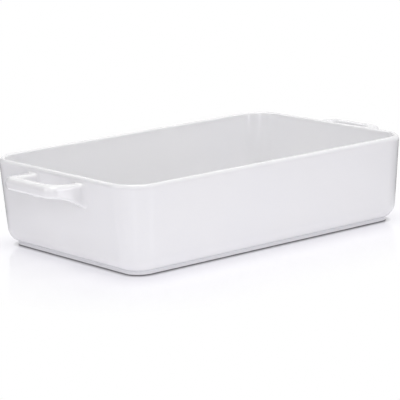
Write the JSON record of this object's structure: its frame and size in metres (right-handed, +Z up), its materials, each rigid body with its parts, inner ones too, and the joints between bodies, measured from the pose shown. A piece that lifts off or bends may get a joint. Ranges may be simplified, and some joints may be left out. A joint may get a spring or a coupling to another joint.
{
  "type": "baking dish",
  "caption": "Rectangular stoneware baking dish in glossy white glaze, with drafted walls, round rim, low foot ring and a loop handle luted to each end.",
  "frame": {"origin": "middle of the foot ring, on the surface that the dish stands on", "axes": "+X along the dish towards the right handle, +Y across it, +Z up out of its mouth"},
  "size_m": [0.403, 0.219, 0.083],
  "materials": {
    "white_glaze": "glossy white glaze over stoneware, bare only on the foot's standing ring"
  },
  "bodies": {
    "root": {"dish_body": "white_glaze", "left_handle": "white_glaze", "right_handle": "white_glaze"}
  },
  "joints": []
}
